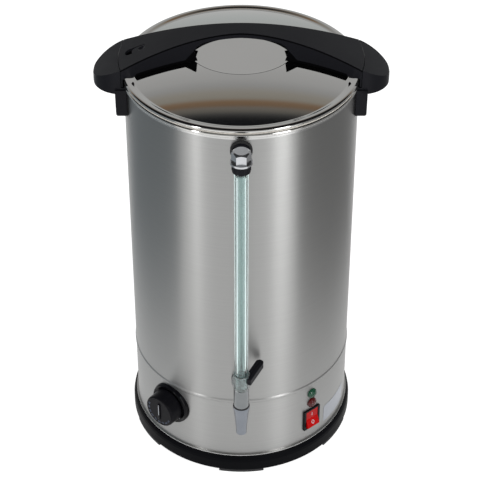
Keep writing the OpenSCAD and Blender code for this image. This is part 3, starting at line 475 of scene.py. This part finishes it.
def turned(name, profile, around, material, closed=False):
    # a profile of (radius, height) turned about the Z axis
    verts, faces = [], []
    count = len(profile)
    for i in range(around):
        a = 2 * math.pi * i / around
        verts += [(r * math.cos(a), r * math.sin(a), z) for r, z in profile]
    for i in range(around):
        j = (i + 1) % around
        for k in range(count if closed else count - 1):
            m = (k + 1) % count
            faces.append((i * count + k, j * count + k, j * count + m, i * count + m))
    made = meshObject(name, verts, faces, material)
    repaired(made.data, join=1e-6)
    return made


def slab(name, outline, z0, z1, material):
    # a flat outline raised between two heights
    count = len(outline)
    verts = [(x, y, z0) for x, y in outline] + [(x, y, z1) for x, y in outline]
    faces = [tuple(reversed(range(count))), tuple(range(count, 2 * count))]
    faces += [(i, (i + 1) % count, count + (i + 1) % count, count + i) for i in range(count)]
    return meshObject(name, verts, faces, material, smooth=False)


def lensOutline(radius, offset, steps=48):
    # the outline shared by two circles whose middles lie offset behind and in front
    half = math.acos(offset / radius)
    front = [(radius * math.sin(a), offset - radius * math.cos(a))
             for a in (half * (2 * i / steps - 1) for i in range(steps + 1))]
    return front + [(-x, -y) for x, y in front[1:-1]]


def lidProfile():
    # the dome, the rounded shoulder, the curled edge and the underside, from the middle outwards
    rings, steps, curls = lid["rings"], lid["shoulderSteps"], lid["curlSteps"]
    reach = [lid["domeR"] * math.sin(math.pi / 2 * i / rings) for i in range(rings + 1)]
    top = [(r, domeAt(r)) for r in reach]
    tilt = math.pi / 2 - math.atan(lid["shoulderOut"])
    wide = lid["curlX"] + lid["curlR"] * math.cos(tilt) - lid["domeR"]
    climb = lid["curlZ"] + lid["curlR"] * math.sin(tilt) - lid["domeZ"]
    first = lid["shoulderIn"] * wide
    cubic = -(lid["shoulderOut"] + lid["shoulderIn"]) * wide - 2 * (climb - first)
    top += [(lid["domeR"] + wide * t,
             lid["domeZ"] + first * t + (climb - first - cubic) * t ** 2 + cubic * t ** 3)
            for t in (i / steps for i in range(1, steps + 1))]
    sweep = tilt + math.radians(lid["curlEnd"])
    curl = [(lid["curlX"] + lid["curlR"] * math.cos(a), lid["curlZ"] + lid["curlR"] * math.sin(a))
            for a in (tilt - sweep * i / curls for i in range(1, curls + 1))]
    under = [(r, z - lid["sheet"]) for r, z in reversed(top) if r < lid["curlX"] - lid["underIn"]]
    return top + curl + under


def lidShell():
    # the lid's sheet, open where the recess is
    shell = turned("lidDome", lidProfile(), lid["around"], finishes["polished"])
    hollow = slab("hollow", lensOutline(lid["recessR"] + lid["lip"], lid["recessY"]),
                  lid["recessZ"], lid["apex"] + lid["cutOver"], finishes["polished"])
    cut(shell, hollow)
    finished(shell)
    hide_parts("lid_shell")
    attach(shell, "lid")


def lidPan():
    # the recess: its floor, and its wall, which meets the dome all round; the wall's narrow top is painted
    # near-black, a painted shadow line round the rim
    inner = lensOutline(lid["recessR"], lid["recessY"])
    outer = lensOutline(lid["recessR"] + lid["lip"] + lid["lap"], lid["recessY"])
    count = len(inner)
    verts = [(x, y, domeAt(x, y) - lid["wallDown"]) for x, y in inner]
    verts += [(x, y, lid["recessZ"]) for x, y in inner]
    verts += [(x, y, lid["recessZ"] - lid["sheet"]) for x, y in outer]
    verts += [(x, y, domeAt(x, y) - lid["lapDown"]) for x, y in outer]
    faces = [tuple(range(count, 2 * count)), tuple(reversed(range(2 * count, 3 * count)))]
    for i in range(count):
        j = (i + 1) % count
        faces += [(i, j, count + j, count + i),
                  (2 * count + i, 2 * count + j, 3 * count + j, 3 * count + i),
                  (3 * count + i, 3 * count + j, j, i)]
    pan = finished(meshObject("lidPan", verts, faces, finishes["polished"]))
    pan.data.materials.append(finishes["shade"])
    for face in pan.data.polygons[2:]:
        if face.index % 3 == 1:  # the narrow top of the wall, painted near-black as a shadow line
            face.material_index = 1
    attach(pan, "lid")


lidShell()
lidPan()
print("lid made")

rim = {"rollR": 0.00236, "height": 0.509, "proud": 0.00006, "steps": 28, "around": 320}


def rimRoll():
    # the tank's rolled rim, buffed
    z = rim["height"] - rim["rollR"] + rim["proud"]
    profile = [(tankR + rim["rollR"] * math.cos(2 * math.pi * i / rim["steps"]),
                z + rim["rollR"] * math.sin(2 * math.pi * i / rim["steps"])) for i in range(rim["steps"])]
    roll = finished(turned("rimRoll", profile, rim["around"], finishes["polished"], closed=True))
    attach(roll, "urn")


rimRoll()


soft = {  # distances in metres and angles in degrees
    "join": 4e-6, "levelFirst": 0.1, "levelLast": 0.6, "roundOver": 30, "steps": 2, "sharp": 45, "weight": 80}
legFoot = {"outerFace": 0.1427, "tall": 0.0052, "round": 0.0024, "steps": 5}


def nodeCopy(name, copyName):
    # a CAD node's mesh, to be changed and shown in its place
    made = bpy.data.objects.new(copyName, nodes[name].data.copy())
    scene.collection.objects.link(made)
    repaired(made.data, soft["join"], soft["levelFirst"])
    return made


def softened(name, body, width, tools=()):
    # the same moulding with its edges rounded, in place of the plain one
    made = nodeCopy(name, name + "_soft")
    # the tools' cut faces take the painted shade finish, near-black for the shade in the groove
    if tools:
        made.data.materials.append(finishes["shade"])
    for tool in tools:
        cut(made, tool)
    mesh = bmesh.new()
    mesh.from_mesh(made.data)
    bmesh.ops.remove_doubles(mesh, verts=mesh.verts, dist=soft["join"])
    bmesh.ops.dissolve_limit(mesh, angle_limit=math.radians(soft["levelLast"]),
                             verts=mesh.verts, edges=mesh.edges)
    if name.startswith("side_handle"):
        top = min(v.co.z for v in mesh.verts) + legFoot["tall"]
        foot = [e for e in mesh.edges
                if all(v.co.z < top and abs(v.co.x) > legFoot["outerFace"] for v in e.verts)]
        bmesh.ops.bevel(mesh, geom=foot, offset=legFoot["round"], segments=legFoot["steps"],
                        profile=0.5, affect="EDGES")
    mesh.to_mesh(made.data)
    mesh.free()
    applied(made, "BEVEL", width=width, segments=soft["steps"], limit_method="ANGLE",
            angle_limit=math.radians(soft["roundOver"]), use_clamp_overlap=True)
    finished(made, soft["sharp"])
    applied(made, "WEIGHTED_NORMAL", keep_sharp=True, weight=soft["weight"])
    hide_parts(name)
    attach(made, body)
    return made


handle = {  # the lid handle's lines in metres, as in the part's source
    "seamR": 0.1399, "crest": 0.5617, "drop": 0.0372, "grip": 0.0113, "end": 0.035,
    "planCurve": 1.6, "crestCurve": 1.8}
groove = {"radius": 0.0009, "down": 0.0013, "steps": 90, "around": 8, "reach": 0.985}
foot = {  # a near-black band under the handle's lip, painted shade and painted reflection in the lid, in metres
    "stops": [  # from the window outwards: how far along the handle, and the band's top there
        (0.0495, 0.5275), (0.0545, 0.5440), (0.0615, 0.5352), (0.0640, 0.5318)],
    "end": 0.1205, "inset": 0.0014, "thick": 0.0012, "tall": 0.0056, "least": 0.0002, "overLid": 0.0003,
    "steps": 48, "crowd": 1.5}
opening = {  # half of the frame's window seen from the front: how far along, and the height
    "half": [(0.0575, 0.515), (0.0575, 0.5350), (0.0545, 0.5425), (0.0500, 0.5476), (0.0430, 0.5512),
             (0.0340, 0.5530), (0.0250, 0.5542), (0.0170, 0.5549), (0.0, 0.5556)],
    "reach": 0.05, "sharp": 40}


def ridgePoint(x):
    # the front edge of the handle's top
    t = abs(x) / handle["seamR"]
    return (x, -(handle["grip"] + (handle["end"] - handle["grip"]) * t ** handle["planCurve"]),
            handle["crest"] - handle["drop"] * t ** handle["crestCurve"])


def ridgeGroove(side):
    # a thin rod along the handle's edge, to cut the line under its top; the cut faces take the near-black
    # finish, painted shade in the groove
    steps, around, r = groove["steps"], groove["around"], groove["radius"]
    verts, faces = [], []
    for i in range(steps + 1):
        x, y, z = ridgePoint(handle["seamR"] * groove["reach"] * (2 * i / steps - 1))
        for k in range(around):
            a = 2 * math.pi * k / around
            verts.append((x, side * (-y + r * math.cos(a)), z - groove["down"] + r * math.sin(a)))
    for i in range(steps):
        for k in range(around):
            m = (k + 1) % around
            faces.append((i * around + k, i * around + m, (i + 1) * around + m, (i + 1) * around + k))
    last = steps * around
    faces += [tuple(range(around)), tuple(reversed(range(last, last + around)))]
    made = meshObject("groove", verts, faces, finishes["black"])
    # the rod's faces, and so the groove's cut faces, are painted near-black as shade
    made.data.materials.append(finishes["shade"])
    for face in made.data.polygons:
        face.material_index = 1
    repaired(made.data)
    return made


def shadeBandTop(x, low):
    # the painted shade band's top: level over the lid, and raised beside the window
    for (xa, za), (xb, zb) in zip(foot["stops"], foot["stops"][1:]):
        if xa <= x <= xb:
            return max(low + foot["least"], za + (zb - za) * (x - xa) / (xb - xa))
    return low + foot["tall"]


def paintedShadeBand(name, sideX, sideY):
    # a near-black band that fills the gap between the cover's lip and the lid: painted shade and painted
    # reflection in the lid
    steps, start = foot["steps"], foot["stops"][0][0]
    verts, faces = [], []
    for i in range(steps + 1):
        x = start + (foot["end"] - start) * (i / steps) ** foot["crowd"]
        for inset in (foot["inset"], foot["inset"] + foot["thick"]):
            y = -ridgePoint(x)[1] - inset
            low = domeAt(x, y) + foot["overLid"]
            verts += [(sideX * x, sideY * y, low), (sideX * x, sideY * y, shadeBandTop(x, low))]
    for i in range(steps):
        a, b = 4 * i, 4 * i + 4
        faces += [(a, b, b + 1, a + 1), (a + 2, a + 3, b + 3, b + 2),
                  (a + 1, b + 1, b + 3, a + 3), (a, a + 2, b + 2, b)]
    last = 4 * steps
    faces += [(0, 1, 3, 2), (last, last + 2, last + 3, last + 1)]
    made = meshObject(name, verts, faces, finishes["shade"], smooth=False)
    repaired(made.data)
    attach(made, "lid")


def openFrame():
    # the frame with its ends cut back to the lid's recess
    half = opening["half"]
    outline = half + [(-x, z) for x, z in reversed(half[:-1])]
    tool = slab("opening", outline, -opening["reach"], opening["reach"], finishes["shade"])
    tool.data.transform(Matrix.Rotation(math.pi / 2, 4, "X"))
    made = nodeCopy("handle_frame", "handle_frame_open")
    finished(cut(made, tool), opening["sharp"])
    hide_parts("handle_frame")
    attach(made, "lid")
    made.visible_glossy = False


openFrame()
# four bands of painted shade and reflection, at each end of the handle, in front and behind
for i, (sideX, sideY) in enumerate(((1, -1), (-1, -1), (1, 1), (-1, 1))):
    paintedShadeBand(f"paintedShadeBand{i}", sideX, sideY)
coverTools = [ridgeGroove(1), ridgeGroove(-1)]
softEdges = {  # node: its body and the radius of its edges in metres
    "handle_cover": ("lid", 0.0009), "side_handle_left": ("urn", 0.0010),
    "side_handle_right": ("urn", 0.0010), "tap_lever": ("tap_key", 0.0006)}
softPieces = {name: softened(name, *facts, tools=coverTools if name == "handle_cover" else ())
              for name, facts in softEdges.items()}
softPieces["handle_cover"].visible_glossy = False  # the buffed lid in the photograph mirrors no handle
for hidden in ("handle_screws", "lock_slider"):
    nodes[hidden].visible_glossy = False
print("soft edges made:", len(softPieces))


def onWall(azimuth, height):
    # X to the right, Y up and Z straight out of the tank's wall
    return (Matrix.Rotation(math.radians(azimuth), 4, "Z")
            @ Matrix.Translation((0, -tankR, height)) @ Matrix.Rotation(math.pi / 2, 4, "X"))


def settled(made, matrix, body):
    # moves a piece's mesh to its place, so that its object stays at the origin
    made.data.transform(matrix)
    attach(made, body)
    return made


inkThick = 0.00012


def figures(name, text, size, matrix, body):
    # plain figures cut from a thin sheet
    curve = bpy.data.curves.new(name, "FONT")
    curve.body, curve.size = text, size
    curve.align_x, curve.align_y = "CENTER", "CENTER"
    curve.extrude, curve.offset = inkThick, size * 0.03
    holder = bpy.data.objects.new(name + "Curve", curve)
    scene.collection.objects.link(holder)
    depsgraph = bpy.context.evaluated_depsgraph_get()
    data = bpy.data.meshes.new_from_object(holder.evaluated_get(depsgraph))
    bpy.data.objects.remove(holder)
    made = bpy.data.objects.new(name, data)
    scene.collection.objects.link(made)
    data.materials.clear()
    data.materials.append(finishes["faint"])
    return settled(made, matrix, body)


def bar(name, wide, tall, thick, material, corner=0.0, steps=5):
    # a flat bar with rounded corners, its middle at the origin
    outline = []
    for cx, cy, start in ((1, 1, 0), (-1, 1, 90), (-1, -1, 180), (1, -1, 270)):
        for i in range(steps + 1 if corner else 1):
            a = math.radians(start + 90 * i / steps)
            outline.append((cx * (wide / 2 - corner) + corner * math.cos(a),
                            cy * (tall / 2 - corner) + corner * math.sin(a)))
    return slab(name, outline, 0, thick, material)


knob = {  # metres and degrees
    "azimuth": -40.5, "height": 0.084, "foot": 0.0040, "radius": 0.022, "deep": 0.0185, "bore": 0.0065,
    "side": [(0.0024, 0.0002), (0.001, 0), (0, 0.001)],  # in from the radius, and up from the foot
    "edge": [  # in from the radius, and down from the top
        (0.0005, 0.0022), (0.0009, 0.0009), (0.0018, 0.0001), (0.0026, 0), (0.0031, 0.0004)],
    "sunk": 0.0004, "around": 96, "sharp": 35,
    "gripSize": (0.0042, 0.026), "gripRound": 0.0018, "gripHigh": 0.0012, "gripSunk": 0.0005,
    "gripEdge": 0.0004, "lineLong": 0.0165, "lineWide": 0.0008, "lineUp": 0.0030,
    "figures": ["110", "100", "90", "80", "70", "60", "50", "40", "30"], "first": 118, "last": 288,
    "figureR": 0.0172, "figureSize": 0.0040, "longFigure": 0.85}
bezel = {  # metres and degrees
    "radius": 0.0278, "bore": 0.0055, "back": -0.004, "face": 0.0032,
    "ring": [  # in from the radius, and the height over the wall
        (0.002, -0.004), (0, -0.0035), (0, 0.0012), (0.0007, 0.0034), (0.0018, 0.0044),
        (0.0032, 0.0042), (0.0046, 0.0034), (0.0056, 0.0032)],
    "indexAt": 133, "indexR": 0.0236, "indexSize": (0.0012, 0.0030)}


def thermostatKnob():
    # a round knob with a white line on its grip
    r, z0, z1 = knob["radius"], knob["foot"], knob["foot"] + knob["deep"]
    profile = [(knob["bore"], z0)] + [(r - inward, z0 + up) for inward, up in knob["side"]]
    profile += [(r - inward, z1 - down) for inward, down in knob["edge"]] + [(0, z1 - knob["sunk"])]
    at = onWall(knob["azimuth"], knob["height"])
    body = turned("knobBody", profile, knob["around"], finishes["knob"])
    finished(settled(body, at, "knob"), knob["sharp"])
    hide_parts("thermostat_knob")
    grip = bar("knobGrip", *knob["gripSize"], knob["gripHigh"], finishes["knob"], knob["gripRound"])
    applied(grip, "BEVEL", width=knob["gripEdge"], segments=2)
    gripAt = z1 - knob["gripSunk"]
    finished(settled(grip, at @ Matrix.Translation((0, 0, gripAt)), "knob"), knob["sharp"])
    line = bar("knobLine", knob["lineWide"], knob["lineLong"], inkThick, finishes["ink"])
    settled(line, at @ Matrix.Translation((0, knob["lineUp"], gripAt + knob["gripHigh"])),
            "knob")


def knobBezel():
    # the ring behind the knob
    r, bore = bezel["radius"], bezel["bore"]
    profile = [(bore, bezel["back"])] + [(r - inward, z) for inward, z in bezel["ring"]]
    profile += [(bore, bezel["face"])]
    at = onWall(knob["azimuth"], knob["height"])
    made = turned("knobBezel", profile, knob["around"], finishes["gloss"], closed=True)
    finished(settled(made, at, "urn"), knob["sharp"])
    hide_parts("knob_bezel")


def knobMarks():
    # the figures round the knob, and the white mark on the bezel that they pass
    at = onWall(knob["azimuth"], knob["height"])
    face = knob["foot"] + knob["deep"] - knob["sunk"]
    step = math.radians(knob["last"] - knob["first"]) / (len(knob["figures"]) - 1)
    for i, text in enumerate(knob["figures"]):
        turn = math.radians(knob["first"]) + step * i
        place = (knob["figureR"] * math.sin(turn), knob["figureR"] * math.cos(turn), face)
        figures(f"knobFigure{i}", text, knob["figureSize"] * (knob["longFigure"] if len(text) > 2 else 1),
                at @ Matrix.Translation(place) @ Matrix.Rotation(math.pi - turn, 4, "Z"),
                "knob")
    turn = math.radians(bezel["indexAt"])
    place = (bezel["indexR"] * math.sin(turn), bezel["indexR"] * math.cos(turn), bezel["face"])
    index = bar("bezelIndex", *bezel["indexSize"], inkThick, finishes["ink"])
    settled(index, at @ Matrix.Translation(place) @ Matrix.Rotation(-turn, 4, "Z"), "urn")


thermostatKnob()
knobBezel()
knobMarks()
print("knob made")

rocker = {  # metres and degrees
    "azimuth": 40.5, "height": 0.059, "pivot": -0.002, "tilt": 10, "face": 0.0036, "slope": 10.87,
    "markAt": 0.0062, "markHigh": 0.0052, "stroke": 0.0008, "thick": 0.00015, "ringWide": 0.8}


def rockerMarks():
    # the two usual marks: a stroke above and a ring below
    at = (onWall(rocker["azimuth"], rocker["height"]) @ Matrix.Translation((0, 0, rocker["pivot"]))
          @ Matrix.Rotation(math.radians(-rocker["tilt"]), 4, "X"))
    lift = rocker["face"] + rocker["markAt"] * math.tan(math.radians(rocker["slope"]))
    thick, wide = rocker["thick"], rocker["stroke"]
    stroke = bar("rockerStroke", wide, rocker["markHigh"], thick, finishes["ink"])
    settled(stroke, at @ Matrix.Translation((0, rocker["markAt"], lift))
            @ Matrix.Rotation(math.radians(rocker["slope"]), 4, "X"), "rocker")
    r = rocker["markHigh"] / 2
    ring = turned("rockerRing", [(r - wide, 0), (r, 0), (r, thick), (r - wide, thick)],
                  40, finishes["ink"], closed=True)
    settled(ring, at @ Matrix.Translation((0, -rocker["markAt"], lift))
            @ Matrix.Rotation(math.radians(-rocker["slope"]), 4, "X")
            @ Matrix.Diagonal((rocker["ringWide"], 1, 1, 1)), "rocker")


plate = {  # degrees round the tank and metres
    "from": 50.5, "to": 73, "low": 0.0352, "high": 0.0610, "over": 0.00002, "thick": 0.00025, "steps": 24,
    "cornerIn": 0.0012, "nextIn": 0.0003}


def barePlate():
    # the rating plate's place, left bare, with its corners clipped
    steps = plate["steps"]
    verts, faces = [], []
    for i in range(steps + 1):
        azimuth = math.radians(plate["from"] + (plate["to"] - plate["from"]) * i / steps)
        inset = plate["cornerIn"] if i in (0, steps) else plate["nextIn"] if i in (1, steps - 1) else 0
        for out in (plate["over"], plate["thick"]):
            for z in (plate["low"] + inset, plate["high"] - inset):
                verts.append(((tankR + out) * math.sin(azimuth), -(tankR + out) * math.cos(azimuth), z))
    for i in range(steps):
        a, b = 4 * i, 4 * i + 4
        faces += [(a + 2, b + 2, b + 3, a + 3), (a, a + 1, b + 1, b),
                  (a, b, b + 2, a + 2), (a + 1, a + 3, b + 3, b + 1)]
    last = 4 * steps
    faces += [(0, 2, 3, 1), (last, last + 1, last + 3, last + 2)]
    made = finished(meshObject("barePlate", verts, faces, finishes["silver"]), 40)
    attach(made, "urn")


rockerMarks()
barePlate()
print("marks and plate made")
print("finishes on the nodes:", sum(len(w) for w in worn.values()), "of", len(nodes))
